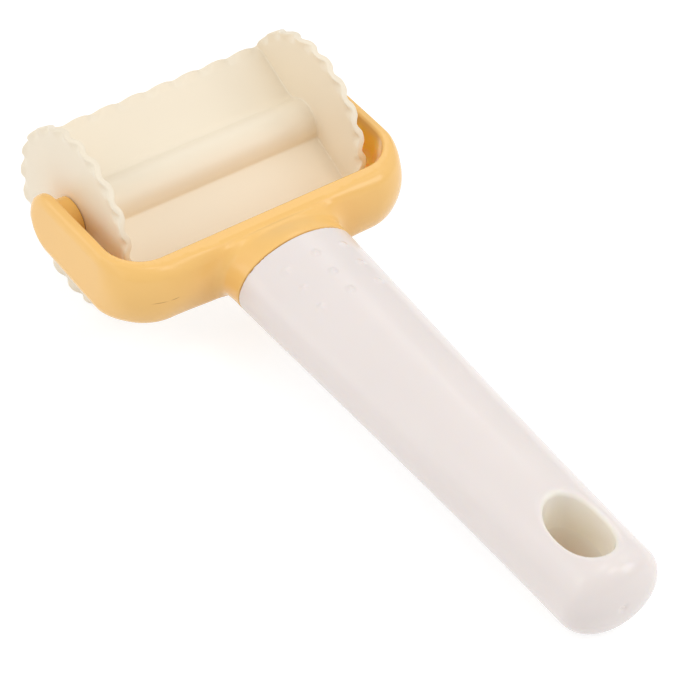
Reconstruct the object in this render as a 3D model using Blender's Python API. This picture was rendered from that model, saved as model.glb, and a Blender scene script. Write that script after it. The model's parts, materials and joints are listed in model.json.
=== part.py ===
# Rolling cookie cutter: a fluted roller with two cutting blades, clipped into a plastic fork
# whose tang plugs into a hollow handle with a hanging hole.
# Metres, +Z up. The tool lies as on a table, on its two end discs and the handle's end.
# It is modelled in the tool's own frame: the roller turns about X at the origin,
# the handle runs towards -Y, and Z stands out of the fork's plane.
import math

import bmesh
import bpy
import numpy as np
from mathutils import Matrix, Vector

# Roller: end discs
DISC_RADIUS = 0.0220
DISC_SPACING = 0.0646        # between the middle planes of the two discs
DISC_WALL = 0.0018
RIM_WALL = 0.0011
RIM_FLUTES = 21
RIM_FLUTE_DEPTH = 0.0014     # crest to hollow, along the axis
RIM_FLUTE_REACH = 0.0032     # how far the flutes run in from the rim
RIM_FLUTE_RAMP = 0.0018      # length over which they rise, from their inner end
LEFT_FLUTE_ANGLE = 15.0      # degrees from +Y to the crest of a flute that bulges outwards
RIGHT_FLUTE_ANGLE = 51.2
SPIGOT_LENGTH = 0.0090

# Roller: hub tube and the two blades
HUB_RADIUS = 0.0055
HUB_WALL = 0.0014
HUB_FILLETS = (0.0030, 0.0007)  # on a blade's leading face and behind it
BLADE_WALL = 0.0018
BLADE_EDGE_WALL = 0.0010
BLADE_TILT = 21.6            # degrees, of the upper blade above +Y at rest
BLADE_FLUTE_PITCH = 0.0076
BLADE_FLUTE_DEPTH = 0.0014
BLADE_FLUTE_REACH = 0.0034
BLADE_FLUTE_RAMP = 0.0022

# Fork
ARM_GAP = 0.00435             # from a disc's outer face to the arm
ARM_WALL = 0.0030
ARM_TIP_RADIUS = 0.0081
CROSSBAR_GAP = 0.0059        # from the disc's rim to the crossbar
CROSSBAR_WALL = 0.0051
CROSSBAR_HEIGHT = 0.0173
FORK_CORNER_RADIUS = 0.0128  # outside
FORK_EDGE_ROUND = 0.0014     # across the wall, and up the inside
FORK_OUTER_ROUND = 0.0026    # up the outside
CORNER_BARREL = 0.0024       # how far the outside bulges at mid height, at the corners
CROSSBAR_BARREL = 0.0004     # and along the crossbar
BOSS_RADIUS = 0.0056
PIVOT_RADIUS = 0.0026
PIVOT_LENGTH = 0.0070        # from the disc's outer face into its bore
COLLAR_LENGTH = 0.0074
COLLAR_FLARE = 0.0026        # how much wider on each side the collar starts, in the crossbar
COLLAR_START_HEIGHT = 0.0176
COLLAR_FLARE_POWER = 2.4     # above 1, the flare is used up near the crossbar
COLLAR_SQUARENESS = 0.8      # added to an ellipse's power of 2 where the collar starts

# Handle
HANDLE_LENGTH = 0.1185
HANDLE_WIDTHS = (0.0313, 0.0287, 0.0259, 0.0250)   # at the mouth, at each third, at the end
HANDLE_HEIGHTS = (0.0223, 0.0208, 0.0207, 0.0208)
HANDLE_END_ROUND = 0.0076
HANDLE_END_POWER = 2.2       # 2 makes the end an ellipse, more makes it blunter
HANDLE_WALL = 0.0024
HOLE_LENGTH = 0.0194
HOLE_WIDTH = 0.0131
HOLE_FROM_END = 0.0178
HOLE_DRAFT = 0.0010          # narrower all round at the middle plane than at the surface
HOLE_POWER = 2.15            # 2 makes the hole an ellipse
DOT_RADIUS = 0.0011
DOT_HEIGHT = 0.00035
DOT_PITCH_ACROSS = 0.0080
DOT_PITCH_ALONG = 0.0066
DOT_FROM_MOUTH = 0.0066      # to the first row

# Tang inside the handle
PLUG_LENGTH = 0.0060
TANG_LENGTH = 0.0420
TANG_WALL = 0.0030
TANG_LEAD = 0.0020           # how much further the flat rib reaches than the upright one
PLUG_CHAMFER = 0.0010
CAVITY_TAPER = 0.0040        # length over which the handle's hollow closes
CAVITY_END = 0.72            # size of its far end, as a share of its full size

# Clearances
SEAM_GAP = 0.0003            # between faces that meet
FIT_GAP = 0.0003             # round what is pushed in
RUNNING_GAP = 0.0003         # round the pivot pins, and from boss to disc

# Smoothness of the round shapes
DISC_STEPS = 6 * RIM_FLUTES
BLADE_STEPS_PER_FLUTE = 6
OVAL_STEPS = 36
ROUND_STEPS = 32
PIN_STEPS = 24
MOST_OF_HALF = 0.49          # a rounding never takes more of a wall or a height than this

# Places worked out from the sizes above
DISC_FACE = DISC_SPACING / 2 + DISC_WALL / 2        # outer face of a disc, from the middle
CORE_HALF = DISC_SPACING / 2 - DISC_WALL / 2 - SEAM_GAP
ARM_INSIDE = DISC_FACE + ARM_GAP
ARM_OUTSIDE = ARM_INSIDE + ARM_WALL
CROSSBAR_INSIDE = DISC_RADIUS + CROSSBAR_GAP
CROSSBAR_OUTSIDE = CROSSBAR_INSIDE + CROSSBAR_WALL
MOUTH = CROSSBAR_OUTSIDE + COLLAR_LENGTH            # where collar and handle meet
HUB_BORE = HUB_RADIUS - HUB_WALL
SPIGOT_RADIUS = HUB_BORE - FIT_GAP
DISC_BORE = PIVOT_RADIUS + RUNNING_GAP
HOLE_PLACE = -(HANDLE_LENGTH - HOLE_FROM_END)       # in the handle, from its mouth

PLASTICS = {
    "yellow_plastic": ((0.913, 0.560, 0.236), 0.30),
    "cream_plastic": ((0.871, 0.791, 0.638), 0.38),
    "white_plastic": ((0.871, 0.815, 0.776), 0.34),
}


# Helpers

def start_empty():
    for thing in list(bpy.data.objects):
        bpy.data.objects.remove(thing)


def collection(name):
    group = bpy.data.collections.new(name)
    bpy.context.scene.collection.children.link(group)
    return group


def plastic(name):
    colour, roughness = PLASTICS[name]
    material = bpy.data.materials.new(name)
    material.use_nodes = True
    shader = material.node_tree.nodes["Principled BSDF"]
    shader.inputs["Base Color"].default_value = (*colour, 1.0)
    shader.inputs["Roughness"].default_value = roughness
    shader.inputs["Metallic"].default_value = 0.0
    material.diffuse_color = (*colour, 1.0)
    return material


def solid(name, bm, group, frame, place=(0, 0, 0)):
    """Turns a closed bmesh into an object in the tool's frame."""
    bmesh.ops.recalc_face_normals(bm, faces=bm.faces)
    mesh = bpy.data.meshes.new(name)
    bm.to_mesh(mesh)
    bm.free()
    mesh.shade_smooth()
    mesh.set_sharp_from_angle(angle=math.radians(35))
    thing = bpy.data.objects.new(name, mesh)
    group.objects.link(thing)
    thing.parent = frame
    thing.location = place
    return thing


def helper(thing):
    """A cutter or a shape that is joined to another: left out of the build."""
    thing.hide_render = True
    thing.display_type = "WIRE"
    return thing


def combine(thing, other, operation):
    step = thing.modifiers.new(other.name, "BOOLEAN")
    step.operation = operation
    step.solver = "EXACT"
    step.object = other


def loft(rings, closed=False):
    """Skins a row of rings with equal numbers of points, and caps it or closes it on itself."""
    bm = bmesh.new()
    loops = [[bm.verts.new(point) for point in ring] for ring in rings]
    pairs = list(zip(loops, loops[1:]))
    if closed:
        pairs.append((loops[-1], loops[0]))
    else:
        bm.faces.new(loops[0])
        bm.faces.new(loops[-1])
    for near, far in pairs:
        for i in range(len(near)):
            j = (i + 1) % len(near)
            bm.faces.new((near[i], near[j], far[j], far[i]))
    return bm


def smooth_step(t):
    t = min(max(t, 0.0), 1.0)
    return t * t * (3 - 2 * t)


def between(values, t):
    """Value at t from 0 to 1 on the smooth curve through evenly spaced values."""
    knots = [i / (len(values) - 1) for i in range(len(values))]
    total = 0.0
    for i, value in enumerate(values):
        weight = 1.0
        for j, knot in enumerate(knots):
            if j != i:
                weight *= (t - knot) / (knots[i] - knot)
        total += value * weight
    return total


def oval(half_width, half_height, y, power=2.0):
    """Ring across the handle; a power above 2 makes it squarer than an ellipse."""
    ring = []
    for i in range(OVAL_STEPS):
        angle = 2 * math.pi * i / OVAL_STEPS
        c, s = math.cos(angle), math.sin(angle)
        x = half_width * math.copysign(abs(c) ** (2 / power), c)
        z = half_height * math.copysign(abs(s) ** (2 / power), s)
        ring.append((x, y, z))
    return ring


def rod(name, radius, start, end, group, frame, steps=ROUND_STEPS):
    """Cylinder along X from start to end."""
    bm = bmesh.new()
    turn = Matrix.Translation(((start + end) / 2, 0, 0)) @ Matrix.Rotation(math.pi / 2, 4, "Y")
    bmesh.ops.create_cone(bm, cap_ends=True, segments=steps, radius1=radius, radius2=radius,
                          depth=abs(end - start), matrix=turn)
    return solid(name, bm, group, frame)


def box(name, low, high, group, frame, place=(0, 0, 0)):
    low, high = Vector(low), Vector(high)
    bm = bmesh.new()
    bmesh.ops.create_cube(bm, size=1.0, matrix=Matrix.LocRotScale((low + high) / 2, None, high - low))
    return solid(name, bm, group, frame, place)


# Roller

def disc_ring(x, radius, flute, crest):
    """Circle about the axis, pushed along X by the flutes of the rim."""
    ring = []
    for i in range(DISC_STEPS):
        angle = 2 * math.pi * i / DISC_STEPS
        push = flute * math.cos(RIM_FLUTES * (angle - crest))
        ring.append((x + push, radius * math.cos(angle), radius * math.sin(angle)))
    return ring


def end_disc(name, side, crest_angle, group, frame):
    """Plate with a corrugated rim and a bored spigot that plugs into the hub tube."""
    crest = math.radians(crest_angle)
    rim_start = DISC_RADIUS - RIM_FLUTE_REACH
    face = []
    for run in (0.0, RIM_FLUTE_RAMP / 2, RIM_FLUTE_RAMP, RIM_FLUTE_REACH):
        radius = rim_start + run
        rise = smooth_step(run / RIM_FLUTE_RAMP)
        half_wall = (DISC_WALL + (RIM_WALL - DISC_WALL) * rise) / 2
        face.append((radius, half_wall, side * RIM_FLUTE_DEPTH / 2 * rise))
    outer = [disc_ring(side * half, radius, flute, crest) for radius, half, flute in face]
    inner = [disc_ring(-side * half, radius, flute, crest) for radius, half, flute in face]
    spigot_end = -side * (DISC_WALL / 2 + SPIGOT_LENGTH)
    rings = [disc_ring(side * DISC_WALL / 2, DISC_BORE, 0, crest)]
    rings += outer + inner[::-1]
    rings.append(disc_ring(-side * DISC_WALL / 2, SPIGOT_RADIUS, 0, crest))
    rings.append(disc_ring(spigot_end, SPIGOT_RADIUS, 0, crest))
    rings.append(disc_ring(spigot_end, DISC_BORE, 0, crest))
    return solid(name, loft(rings, closed=True), group, frame, (side * DISC_SPACING / 2, 0, 0))


def blade_offset(distance, x):
    """How far the blade's middle is pushed off its plane at a distance from the axis."""
    rise = smooth_step((abs(distance) - (DISC_RADIUS - BLADE_FLUTE_REACH)) / BLADE_FLUTE_RAMP)
    wave = -math.cos(2 * math.pi * x / BLADE_FLUTE_PITCH)
    return math.copysign(BLADE_FLUTE_DEPTH / 2, distance) * rise * wave


def blade_face(fillet):
    """From the hub's crown, round the fillet and out along a blade's face to its edge."""
    # The fillet's centre stands off the blade's face and touches the hub.
    centre_up = BLADE_WALL / 2 + fillet
    centre_out = math.sqrt((HUB_RADIUS + fillet) ** 2 - centre_up ** 2)
    touch = math.atan2(centre_up, centre_out)
    points = [(HUB_RADIUS * math.cos(a), HUB_RADIUS * math.sin(a))
              for a in np.linspace(math.pi / 2, touch, 5)[:-1]]
    points += [(centre_out + fillet * math.cos(a), centre_up + fillet * math.sin(a))
               for a in np.linspace(math.pi + touch, 1.5 * math.pi, 4)]
    flute_start = DISC_RADIUS - BLADE_FLUTE_REACH
    for t in (0.0, 0.35, 0.7, 1.0):
        half_wall = (BLADE_WALL + (BLADE_EDGE_WALL - BLADE_WALL) * t) / 2
        points.append((flute_start + BLADE_FLUTE_REACH * t, half_wall))
    return points


def half_section(x):
    """One blade and half of the hub, from the hub's crown round the edge to its underside."""
    leading = [(out, up + blade_offset(out, x)) for out, up in blade_face(HUB_FILLETS[0])]
    behind = [(out, -up + blade_offset(out, x)) for out, up in blade_face(HUB_FILLETS[1])]
    return leading + behind[:0:-1]


def cutter_core(group, cutters, frame):
    """Hub tube with its two blades, one moulding."""
    flutes = 2 * CORE_HALF / BLADE_FLUTE_PITCH
    stations = np.linspace(-CORE_HALF, CORE_HALF, round(flutes * BLADE_STEPS_PER_FLUTE) + 1)
    tilt = Matrix.Rotation(math.radians(BLADE_TILT), 3, "X")
    rings = []
    for x in stations:
        blade = half_section(x)
        # The second blade is the first turned half round, so its flutes bulge the other way.
        opposite = [(-out, -up) for out, up in blade]
        rings.append([tilt @ Vector((x, out, up)) for out, up in blade + opposite])
    core = solid("cutter_core", loft(rings), group, frame)
    bore = rod("hub_bore_cut", HUB_BORE, -CORE_HALF - SEAM_GAP, CORE_HALF + SEAM_GAP, cutters, frame)
    combine(core, helper(bore), "DIFFERENCE")
    return core


# Fork

def fork_section(centre, across, wall, half_height, barrel):
    """Rounded upright section of the band; across points through its wall, outwards."""
    round_off = min(FORK_EDGE_ROUND, wall * MOST_OF_HALF)
    outline = []
    for side, level, quarter in ((1, 1, 0), (-1, 1, 1), (-1, -1, 2), (1, -1, 3)):
        rise = min(FORK_OUTER_ROUND if side > 0 else FORK_EDGE_ROUND, half_height * MOST_OF_HALF)
        for angle in np.linspace(0, math.pi / 2, 4) + quarter * math.pi / 2:
            outline.append((side * (wall / 2 - round_off) + round_off * math.cos(angle),
                            level * (half_height - rise) + rise * math.sin(angle)))
    flat = half_height - min(FORK_OUTER_ROUND, half_height * MOST_OF_HALF)
    outline += [(wall / 2, flat * level) for level in (-0.6, -0.2, 0.2, 0.6)]
    points = []
    for out, up in outline:
        if out > 0:
            out += barrel * (0.5 - (up / half_height) ** 2)
        points.append(centre + across * out + Vector((0, 0, up)))
    return points


def fork_half():
    """Centre, outward direction, wall, half height and barrel, from the arm's tip to the middle."""
    stations = []
    # The rounded tip of the arm, about the roller's axis
    arm_middle = (ARM_INSIDE + ARM_OUTSIDE) / 2
    for angle in np.radians((88, 80, 70, 58, 46, 34, 22, 10)):
        y = ARM_TIP_RADIUS * math.sin(angle)
        inset = max(0.0, y - (ARM_TIP_RADIUS - FORK_EDGE_ROUND)) / FORK_EDGE_ROUND
        wall = ARM_WALL * (1 - MOST_OF_HALF * 1.7 * (1 - math.sqrt(1 - min(inset, 1) ** 2)))
        stations.append((Vector((arm_middle, y, 0)), Vector((1, 0, 0)), wall,
                         ARM_TIP_RADIUS * math.cos(angle), 0.0))
    # The straight arm, the corner and half of the crossbar
    full = CROSSBAR_HEIGHT / 2
    corner_y = -(CROSSBAR_OUTSIDE - FORK_CORNER_RADIUS)
    corner_x = ARM_OUTSIDE - FORK_CORNER_RADIUS
    for t in np.linspace(0, 1, 5)[:-1]:
        height = ARM_TIP_RADIUS + (full - ARM_TIP_RADIUS) * smooth_step(t)
        stations.append((Vector((arm_middle, corner_y * t, 0)), Vector((1, 0, 0)), ARM_WALL,
                         height, 0.0))
    for angle in np.linspace(0, math.pi / 2, 13):
        across = Vector((math.cos(angle), -math.sin(angle), 0))
        turned = angle / (math.pi / 2)
        wall = ARM_WALL + (CROSSBAR_WALL - ARM_WALL) * smooth_step(turned)
        centre = Vector((corner_x, corner_y, 0)) + across * (FORK_CORNER_RADIUS - wall / 2)
        stations.append((centre, across, wall, full, CORNER_BARREL * smooth_step(turned * 2)))
    for t in (0.2, 0.5, 1.0):
        centre = Vector((corner_x * (1 - t), -(CROSSBAR_INSIDE + CROSSBAR_WALL / 2), 0))
        barrel = CORNER_BARREL + (CROSSBAR_BARREL - CORNER_BARREL) * smooth_step(t * 2)
        stations.append((centre, Vector((0, -1, 0)), CROSSBAR_WALL, full, barrel))
    return stations


def fork_band(name, group, frame):
    half = fork_half()
    rings = [fork_section(*station) for station in half]
    mirrored = [[Vector((-p.x, p.y, p.z)) for p in ring] for ring in rings[:-1]]
    return solid(name, loft(rings + mirrored[::-1]), group, frame)


def collar(group, frame):
    """Flares from the crossbar into the oval that the handle continues."""
    half_width = HANDLE_WIDTHS[0] / 2
    half_height = HANDLE_HEIGHTS[0] / 2
    start_height = COLLAR_START_HEIGHT / 2
    start = -(CROSSBAR_INSIDE + CROSSBAR_WALL / 2)
    rings = []
    for t in np.linspace(0, 1, 10):
        ease = (1 - t) ** COLLAR_FLARE_POWER
        rise = smooth_step(t)
        rings.append(oval(half_width + COLLAR_FLARE * ease,
                          start_height + (half_height - start_height) * rise,
                          start + (-MOUTH - start) * t, 2 + COLLAR_SQUARENESS * ease))
    return solid("collar_form", loft(rings), group, frame)


def plug(group, frame):
    """Short oval plug that fills the handle's mouth."""
    half_width, half_height = inside_handle(PLUG_LENGTH)
    rings = []
    for y, inset in ((COLLAR_LENGTH / 2, FIT_GAP), (-PLUG_LENGTH + PLUG_CHAMFER, FIT_GAP),
                     (-PLUG_LENGTH, FIT_GAP + PLUG_CHAMFER)):
        rings.append(oval(half_width - inset, half_height - inset, y))
    return solid("plug_form", loft(rings), group, frame, (0, -MOUTH, 0))


def inside_handle(distance):
    """Half width and half height of the handle's cavity at a distance from the mouth."""
    t = distance / HANDLE_LENGTH
    return (between(HANDLE_WIDTHS, t) / 2 - HANDLE_WALL, between(HANDLE_HEIGHTS, t) / 2 - HANDLE_WALL)


def tang_ribs(group, frame):
    """Two crossed ribs that steady the fork inside the handle."""
    half_width, half_height = inside_handle(TANG_LENGTH)
    corner = (TANG_WALL / 2) ** 2
    wide = half_width * math.sqrt(1 - corner / half_height ** 2) - 2 * FIT_GAP
    tall = half_height * math.sqrt(1 - corner / half_width ** 2) - 2 * FIT_GAP
    start = PLUG_LENGTH / 2
    flat = box("tang_flat_form", (-wide, -TANG_LENGTH, -TANG_WALL / 2),
               (wide, -start, TANG_WALL / 2), group, frame, (0, -MOUTH, 0))
    upright = box("tang_upright_form", (-TANG_WALL / 2, -TANG_LENGTH + TANG_LEAD, -tall),
                  (TANG_WALL / 2, -start, tall), group, frame, (0, -MOUTH, 0))
    return flat, upright


def fork(group, cutters, frame):
    yoke = fork_band("yoke", group, frame)
    combine(yoke, helper(collar(cutters, frame)), "UNION")
    combine(yoke, helper(plug(cutters, frame)), "UNION")
    for rib in tang_ribs(cutters, frame):
        combine(yoke, helper(rib), "UNION")
    for side, label in ((-1, "left"), (1, "right")):
        boss = rod(label + "_boss_form", BOSS_RADIUS, side * (ARM_INSIDE + ARM_WALL / 2),
                   side * (DISC_FACE + RUNNING_GAP), cutters, frame)
        pin = rod(label + "_pivot_form", PIVOT_RADIUS, side * (DISC_FACE + ARM_GAP / 2),
                  side * (DISC_FACE - PIVOT_LENGTH), cutters, frame, PIN_STEPS)
        combine(yoke, helper(boss), "UNION")
        combine(yoke, helper(pin), "UNION")
    return yoke


# Handle

def handle_surface(distance):
    """Half width and half height of the handle's outside at a distance from the mouth."""
    t = distance / HANDLE_LENGTH
    half_width = between(HANDLE_WIDTHS, t) / 2
    half_height = between(HANDLE_HEIGHTS, t) / 2
    into_end = (distance - (HANDLE_LENGTH - HANDLE_END_ROUND)) / HANDLE_END_ROUND
    if into_end > 0:
        closing = (1 - min(into_end, 1) ** HANDLE_END_POWER) ** (1 / HANDLE_END_POWER)
        half_width, half_height = half_width * closing, half_height * closing
    return half_width, half_height


def handle_outside():
    straight = np.linspace(SEAM_GAP, HANDLE_LENGTH - HANDLE_END_ROUND, 14)
    closing = [HANDLE_LENGTH - HANDLE_END_ROUND * (1 - math.sin(a))
               for a in np.linspace(0, math.pi / 2, 10)[1:-1]]
    tip = HANDLE_LENGTH - HANDLE_END_ROUND * 0.002
    return [oval(*handle_surface(d), -d) for d in (*straight, *closing, tip)]


def handle_cavity(cutters, frame, place):
    """Hollow of the handle: open at the mouth, closed before the hanging hole."""
    end = HANDLE_LENGTH - HOLE_FROM_END - HOLE_LENGTH / 2 - HANDLE_WALL
    rings = [oval(*inside_handle(0.0), SEAM_GAP)]
    rings += [oval(*inside_handle(d), -d) for d in np.linspace(SEAM_GAP, end - CAVITY_TAPER, 8)]
    half_width, half_height = inside_handle(end)
    rings.append(oval(half_width * CAVITY_END, half_height * CAVITY_END, -end))
    return helper(solid("handle_cavity_cut", loft(rings), cutters, frame, place))


def hanging_hole(cutters, frame, place):
    """Egg-shaped hole, narrowest at the middle plane where the two mould halves meet."""
    surface = handle_surface(HANDLE_LENGTH - HOLE_FROM_END)[1]
    rings = []
    for level in (-1.5, -1.0, -0.5, 0.0, 0.5, 1.0, 1.5):
        inset = HOLE_DRAFT * (1 - abs(level))
        flat = oval(HOLE_WIDTH / 2 - inset, HOLE_LENGTH / 2 - inset, surface * level, HOLE_POWER)
        rings.append([(x, HOLE_PLACE + along, z) for x, z, along in flat])
    return helper(solid("hanging_hole_cut", loft(rings), cutters, frame, place))


def grip_dots(cutters, frame, place):
    """Three rows of low round dots for the thumb."""
    sphere_radius = (DOT_RADIUS ** 2 + DOT_HEIGHT ** 2) / (2 * DOT_HEIGHT)
    for row in range(3):
        for column in (-1, 0, 1):
            distance = DOT_FROM_MOUTH + row * DOT_PITCH_ALONG
            half_width, half_height = handle_surface(distance)
            x = column * DOT_PITCH_ACROSS
            z = half_height * math.sqrt(1 - (x / half_width) ** 2)
            slope = Vector((x / half_width ** 2, 0, z / half_height ** 2)).normalized()
            centre = Vector((x, -distance, z)) - slope * (sphere_radius - DOT_HEIGHT)
            bm = bmesh.new()
            bmesh.ops.create_uvsphere(bm, u_segments=12, v_segments=16, radius=sphere_radius,
                                      matrix=Matrix.Translation(centre))
            yield helper(solid(f"dot_{row}_{column + 1}_form", bm, cutters, frame, place))


def handle(group, cutters, frame):
    place = (0, -MOUTH, 0)
    shell = solid("handle_shell", loft(handle_outside()), group, frame, place)
    for dot in grip_dots(cutters, frame, place):
        combine(shell, dot, "UNION")
    combine(shell, handle_cavity(cutters, frame, place), "DIFFERENCE")
    combine(shell, hanging_hole(cutters, frame, place), "DIFFERENCE")
    return shell


# Resting place

def resting_tilt():
    """Angle by which the handle's end drops until it touches the surface under the discs."""
    outline = []
    for d in np.linspace(HANDLE_LENGTH * 0.6, HANDLE_LENGTH * 0.999, 200):
        outline.append((-(MOUTH + d), -handle_surface(d)[1]))
    low, high = 0.0, math.radians(30)
    for _ in range(60):
        middle = (low + high) / 2
        lowest = min(y * math.sin(middle) + z * math.cos(middle) for y, z in outline)
        if lowest < -DISC_RADIUS:
            high = middle
        else:
            low = middle
    return low


def world_corners(things):
    """Lowest and highest corner of the finished objects in the world."""
    depsgraph = bpy.context.evaluated_depsgraph_get()
    points = []
    for thing in things:
        final = thing.evaluated_get(depsgraph)
        points += [thing.matrix_world @ v.co for v in final.data.vertices]
    low = Vector([min(p[i] for p in points) for i in range(3)])
    high = Vector([max(p[i] for p in points) for i in range(3)])
    return low, high


def main():
    start_empty()
    parts = collection("cookie_cutter")
    cutters = collection("cookie_cutter_forms")
    frame = bpy.data.objects.new("tool_frame", None)
    parts.objects.link(frame)

    pieces = {
        "yellow_plastic": [fork(parts, cutters, frame)],
        "white_plastic": [handle(parts, cutters, frame)],
        "cream_plastic": [
            cutter_core(parts, cutters, frame),
            end_disc("end_disc_left", -1, LEFT_FLUTE_ANGLE, parts, frame),
            end_disc("end_disc_right", 1, RIGHT_FLUTE_ANGLE, parts, frame),
        ],
    }
    for name, things in pieces.items():
        for thing in things:
            thing.data.materials.append(plastic(name))

    # Lay the tool down, centred over the origin with its lowest point on the surface.
    frame.rotation_euler = (resting_tilt(), 0, 0)
    bpy.context.view_layer.update()
    low, high = world_corners(sum(pieces.values(), []))
    frame.location = (-(low.x + high.x) / 2, -(low.y + high.y) / 2, -low.z)
    bpy.context.view_layer.update()
    print("tilt in degrees", round(math.degrees(frame.rotation_euler.x), 4))
    print("roller axis at", [round(v, 6) for v in frame.location])
    print("size in mm", [round(v * 1000, 2) for v in high - low])


main()
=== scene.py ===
# %% [markdown]
# # A rolling cookie cutter, dressed for its picture
# This lesson finishes a plastic kitchen tool: a cream roller with wavy blades and discs, a yellow
# fork, and an off-white handle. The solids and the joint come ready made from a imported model. Each
# cell below replaces one of those plain solids with a finer surface worked out with numpy, gives it
# a plastic, and lets it ride on the body that moves it.

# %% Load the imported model
import json
import math

import bmesh
import bpy
import numpy as np
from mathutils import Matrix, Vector


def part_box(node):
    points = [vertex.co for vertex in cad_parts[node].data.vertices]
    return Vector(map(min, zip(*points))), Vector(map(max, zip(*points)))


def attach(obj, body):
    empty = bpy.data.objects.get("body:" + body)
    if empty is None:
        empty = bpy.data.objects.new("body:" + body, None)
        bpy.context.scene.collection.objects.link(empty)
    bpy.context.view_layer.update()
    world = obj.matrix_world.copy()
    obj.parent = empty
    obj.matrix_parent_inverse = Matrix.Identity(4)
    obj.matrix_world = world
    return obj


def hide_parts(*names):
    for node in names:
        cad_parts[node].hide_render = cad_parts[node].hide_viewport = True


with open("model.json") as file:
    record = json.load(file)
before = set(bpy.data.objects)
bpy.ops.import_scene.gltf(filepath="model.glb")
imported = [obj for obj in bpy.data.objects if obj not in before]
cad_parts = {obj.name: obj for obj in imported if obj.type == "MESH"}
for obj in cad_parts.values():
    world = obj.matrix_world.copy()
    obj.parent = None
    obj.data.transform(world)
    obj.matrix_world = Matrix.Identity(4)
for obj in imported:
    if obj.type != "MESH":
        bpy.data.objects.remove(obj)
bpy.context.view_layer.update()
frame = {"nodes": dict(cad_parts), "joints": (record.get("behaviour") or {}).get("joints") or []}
print("nodes:", ", ".join(sorted(frame["nodes"])))

# %% [markdown]
# ## The tool's own frame
# A rolling cutter is easiest to draw along its own lines: X along the roller's axis, Y away from the
# handle, Z out of the fork's plane, all in millimetres from the middle of the roller. On the table it
# lies on its discs and on the handle's end, so those lines dip by a few degrees. One function turns
# drawn points into places in the model, and everything else can forget the tilt.

# %% From the tool's frame to the model's
MM = 0.001
HANDLE_DIP = 4.3941                 # degrees, about the roller's axis
AXIS_PLACE = np.array(frame["joints"][0]["pos_m"])


def tilt_matrix():
    """Turn about X: y and z mix by the cosine and the sine of the dip."""
    c, s = math.cos(math.radians(HANDLE_DIP)), math.sin(math.radians(HANDLE_DIP))
    return np.array([[1, 0, 0], [0, c, -s], [0, s, c]])


def to_model(points):
    """Millimetres in the tool's frame to metres in the model: turned, scaled and moved to the axis."""
    return np.asarray(points) @ tilt_matrix().T * MM + AXIS_PLACE


def from_model(places):
    """The way back: metres in the model to millimetres in the tool's frame."""
    return (np.asarray(places) - AXIS_PLACE) @ tilt_matrix() / MM


print("roller axis in mm:", np.round(AXIS_PLACE / MM, 2))

# %% [markdown]
# ## Arrays into meshes
# A grid of points with rows and columns makes a skin of four-sided faces. The four corners of each
# face are the grid's index numbers, shifted by one row or one column, so the whole list of faces is
# a few array slices. Where rows or columns close on themselves, the shift rolls round to the start.

# %% Mesh helpers
def to_mesh(name, points, faces):
    """New object from an array of points in the tool's frame and an array of quads."""
    mesh = bpy.data.meshes.new(name)
    mesh.vertices.add(len(points))
    mesh.vertices.foreach_set("co", to_model(points).astype(np.float32).ravel())
    mesh.loops.add(faces.size)
    mesh.loops.foreach_set("vertex_index", faces.astype(np.int32).ravel())
    mesh.polygons.add(len(faces))
    mesh.polygons.foreach_set("loop_start", np.arange(0, faces.size, 4, dtype=np.int32))
    mesh.update(calc_edges=True)
    piece = bpy.data.objects.new(name, mesh)
    bpy.context.scene.collection.objects.link(piece)
    return piece


def grid_faces(rows, columns, close_rows, close_columns):
    """Quads of a grid: each point, its neighbour in the row, the one beyond, the one across."""
    number = np.arange(rows * columns).reshape(rows, columns)
    if close_rows:
        number = np.vstack([number, number[:1]])
    if close_columns:
        number = np.hstack([number, number[:, :1]])
    return np.stack([number[:-1, :-1], number[:-1, 1:], number[1:, 1:], number[1:, :-1]],
                    axis=-1).reshape(-1, 4)


def finish_surface(piece, crease_degrees):
    """Merges points that meet at poles, turns all faces outwards and shades them smooth."""
    bm = bmesh.new()
    bm.from_mesh(piece.data)
    bmesh.ops.remove_doubles(bm, verts=bm.verts, dist=1e-7)
    bmesh.ops.recalc_face_normals(bm, faces=bm.faces)
    bm.to_mesh(piece.data)
    bm.free()
    piece.data.shade_smooth()
    piece.data.set_sharp_from_angle(angle=math.radians(crease_degrees))
    return piece


def report(piece, node):
    """Prints the piece's size beside that of the solid it stands for."""
    low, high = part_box(node)
    corners = np.array([v[:] for v in piece.bound_box])
    size = np.round(np.ptp(corners, axis=0) / MM, 2)
    solid_size = np.round(np.array(high - low) / MM, 2)
    print(f"{piece.name}: {size} mm, solid {solid_size} mm, {len(piece.data.polygons)} faces")


def smooth_step(t):
    """Eases from 0 to 1: three t squared less two t cubed, held at the ends."""
    t = np.clip(t, 0, 1)
    return t * t * (3 - 2 * t)


CREST_POWER = 1.9                   # above 1, crests of the flutes are broader than hollows


def flute_push(angle, level, depth):
    """How far a fluted sheet's point moves, from its turn along the flutes and its level, 1 on the
    near face and -1 on the far one. Each face has broad crests and narrow hollows, as one less twice
    a power of the sine squared, and the far face's crests lie behind the near one's hollows."""
    near = 1 - 2 * (np.sin(angle / 2) ** 2) ** CREST_POWER
    far = 1 - 2 * (np.cos(angle / 2) ** 2) ** CREST_POWER
    return depth / 2 * ((1 + level) / 2 * near - (1 - level) / 2 * far)


print("a flute 1 mm deep pushes from", flute_push(math.pi, 1, 1), "to", flute_push(0, 1, 1), "mm")

# %% [markdown]
# ## Three plastics
# All three are moulded plastics, so they share one recipe: a shader whose colour drifts by a hair
# over the part, whose roughness is broken up by a faint grain, and whose surface has the small
# ripples that a mould leaves. The patterns read Object coordinates, in metres, so their scale is the
# same on every piece. Light enters the white plastic a little before it comes out again, which
# softens its edges; that is the subsurface setting. The yellow one lets light through its walls only
# where a later cell says so, and the cream one is dense.

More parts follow.
